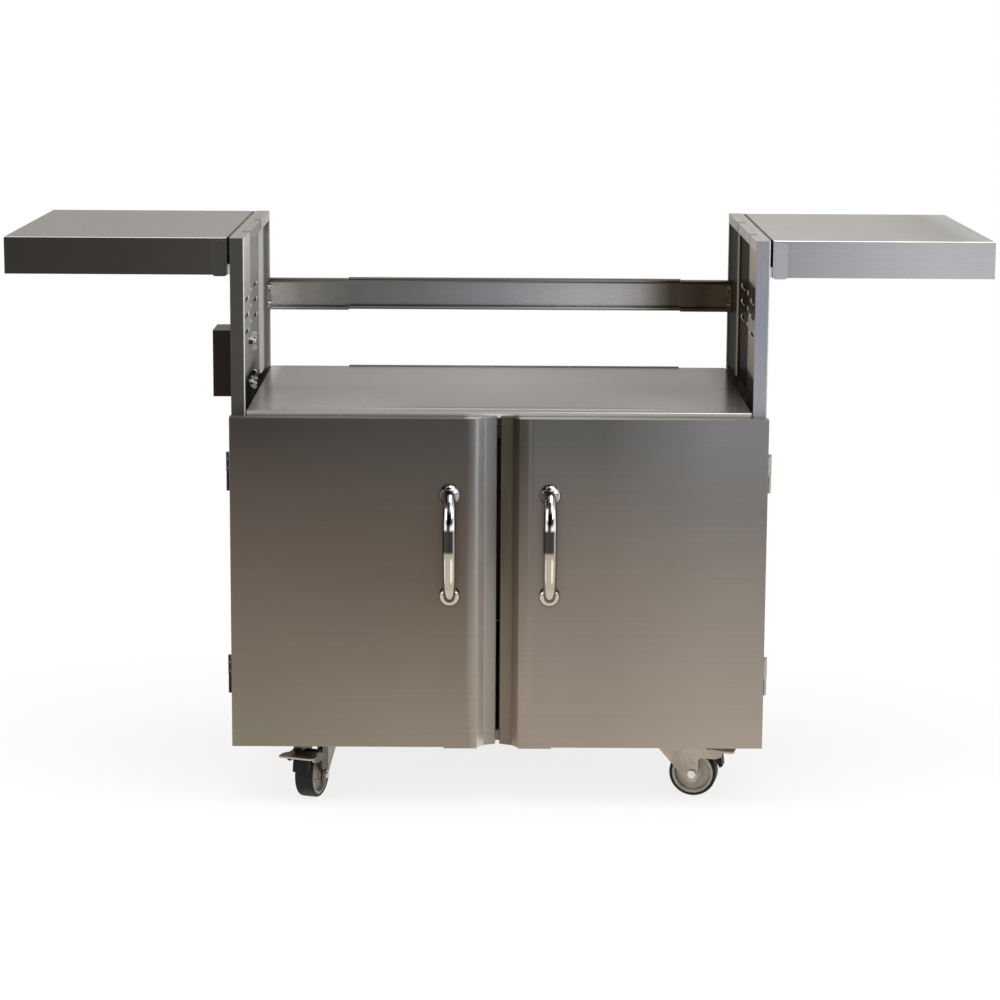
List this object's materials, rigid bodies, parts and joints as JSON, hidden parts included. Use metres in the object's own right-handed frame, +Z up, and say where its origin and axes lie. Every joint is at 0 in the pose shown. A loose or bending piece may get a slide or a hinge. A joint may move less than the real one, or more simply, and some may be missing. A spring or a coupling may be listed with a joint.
{
  "type": "grill cart",
  "caption": "Stainless cart for a drop-in grill head: cabinet with double doors, hollow arms, rear rail, fold-down side shelves, a utility box and swivel casters.",
  "frame": {"origin": "on the floor under the centre of the cart's bounding box", "axes": "+X to the cart's right seen from the front, +Y to its back, +Z up"},
  "size_m": [1.51, 0.59, 0.883],
  "materials": {
    "arm_steel": "brushed, slightly worn",
    "door_steel": "brushed along the width, satin",
    "brushed_top": "brushed, satin",
    "rail_steel": "brushed, glossy",
    "bracket_steel": "satin",
    "hinge_steel": "satin",
    "zinc_plate": "zinc plated, dull",
    "bright_fastener": "bright plated",
    "chrome": "mirror chrome",
    "dark_box": "dark satin",
    "hub_grey": "moulded, satin",
    "tyre_rubber": "smooth rubber, bluish sheen",
    "black_rubber": "matt"
  },
  "bodies": {
    "cart": {"left_side_panel": "arm_steel", "right_side_panel": "arm_steel", "left_arm_liner": "arm_steel", "right_arm_liner": "arm_steel", "left_rear_post": "arm_steel", "right_rear_post": "arm_steel", "top_panel": "brushed_top", "bottom_panel": "arm_steel", "back_panel": "arm_steel", "front_rail": "arm_steel", "caster_channels": "zinc_plate", "rear_rail_center": "rail_steel", "rear_rail_ends": "rail_steel", "frame_bolts": "bright_fastener", "utility_box": "dark_box", "box_bolts": "bright_fastener", "wing_nuts": "bright_fastener", "shelf_mounts": "hinge_steel", "shelf_bumpers": "black_rubber", "shelf_pins": "bright_fastener", "hinge_frame_leaves": "hinge_steel", "hinge_pins": "bright_fastener", "magnetic_catch": "black_rubber", "caster_plates": "zinc_plate", "kingpins": "zinc_plate"},
    "left_door": {"left_door_skin": "door_steel", "left_door_liner": "arm_steel", "left_door_handle": "chrome", "left_door_hinge_leaves": "hinge_steel", "left_door_striker": "hinge_steel"},
    "left_shelf": {"left_shelf_tray": "brushed_top", "left_shelf_brackets": "bracket_steel"},
    "right_door": {"right_door_skin": "door_steel", "right_door_liner": "arm_steel", "right_door_handle": "chrome", "right_door_hinge_leaves": "hinge_steel", "right_door_striker": "hinge_steel"},
    "right_shelf": {"right_shelf_tray": "brushed_top", "right_shelf_brackets": "bracket_steel"},
    "front_left_caster": {"front_left_fork": "zinc_plate", "front_left_axle": "bright_fastener"},
    "front_left_wheel": {"front_left_hub": "hub_grey", "front_left_tyre": "tyre_rubber"},
    "front_left_brake": {"front_left_brake_lever": "zinc_plate", "front_left_brake_shoe": "black_rubber"},
    "front_right_caster": {"front_right_fork": "zinc_plate", "front_right_axle": "bright_fastener"},
    "front_right_wheel": {"front_right_hub": "hub_grey", "front_right_tyre": "tyre_rubber"},
    "front_right_brake": {"front_right_brake_lever": "zinc_plate", "front_right_brake_shoe": "black_rubber"},
    "rear_left_caster": {"rear_left_fork": "zinc_plate", "rear_left_axle": "bright_fastener"},
    "rear_left_wheel": {"rear_left_hub": "hub_grey", "rear_left_tyre": "tyre_rubber"},
    "rear_right_caster": {"rear_right_fork": "zinc_plate", "rear_right_axle": "bright_fastener"},
    "rear_right_wheel": {"rear_right_hub": "hub_grey", "rear_right_tyre": "tyre_rubber"}
  },
  "joints": [
    {"name": "left_door_hinge", "type": "hinge", "parent": "cart", "child": "left_door", "pos_m": [-0.416, -0.2265, 0.365], "axis": [0, 0, -1], "range_deg": [0, 110]},
    {"name": "left_shelf_fold", "type": "hinge", "parent": "cart", "child": "left_shelf", "pos_m": [-0.431, 0.0385, 0.834], "axis": [0, -1, 0], "range_deg": [0, 90]},
    {"name": "right_door_hinge", "type": "hinge", "parent": "cart", "child": "right_door", "pos_m": [0.416, -0.2265, 0.365], "axis": [0, 0, 1], "range_deg": [0, 110]},
    {"name": "right_shelf_fold", "type": "hinge", "parent": "cart", "child": "right_shelf", "pos_m": [0.431, 0.0385, 0.834], "axis": [0, 1, 0], "range_deg": [0, 90]},
    {"name": "front_left_swivel", "type": "hinge", "parent": "cart", "child": "front_left_caster", "pos_m": [-0.281, -0.165, 0.09], "axis": [0, 0, 1], "continuous": true},
    {"name": "front_left_roll", "type": "hinge", "parent": "front_left_caster", "child": "front_left_wheel", "pos_m": [-0.29168, -0.19517, 0.0375], "axis": [0.9426, -0.3338, 0], "continuous": true},
    {"name": "front_left_brake_press", "type": "hinge", "parent": "front_left_caster", "child": "front_left_brake", "pos_m": [-0.29535, -0.20553, 0.0795], "axis": [0.9426, -0.3338, 0], "range_deg": [0, 8]},
    {"name": "front_right_swivel", "type": "hinge", "parent": "cart", "child": "front_right_caster", "pos_m": [0.281, -0.165, 0.09], "axis": [0, 0, 1], "continuous": true},
    {"name": "front_right_roll", "type": "hinge", "parent": "front_right_caster", "child": "front_right_wheel", "pos_m": [0.3123, -0.17165, 0.0375], "axis": [0.2079, 0.9781, 0], "continuous": true},
    {"name": "front_right_brake_press", "type": "hinge", "parent": "front_right_caster", "child": "front_right_brake", "pos_m": [0.32306, -0.17394, 0.0795], "axis": [0.2079, 0.9781, 0], "range_deg": [0, 8]},
    {"name": "rear_left_swivel", "type": "hinge", "parent": "cart", "child": "rear_left_caster", "pos_m": [-0.281, 0.235, 0.09], "axis": [0, 0, 1], "continuous": true},
    {"name": "rear_left_roll", "type": "hinge", "parent": "rear_left_caster", "child": "rear_left_wheel", "pos_m": [-0.25057, 0.24489, 0.0375], "axis": [-0.309, 0.9511, 0], "continuous": true},
    {"name": "rear_right_swivel", "type": "hinge", "parent": "cart", "child": "rear_right_caster", "pos_m": [0.281, 0.235, 0.09], "axis": [0, 0, 1], "continuous": true},
    {"name": "rear_right_roll", "type": "hinge", "parent": "rear_right_caster", "child": "rear_right_wheel", "pos_m": [0.25479, 0.25335, 0.0375], "axis": [-0.5736, -0.8192, 0], "continuous": true}
  ]
}
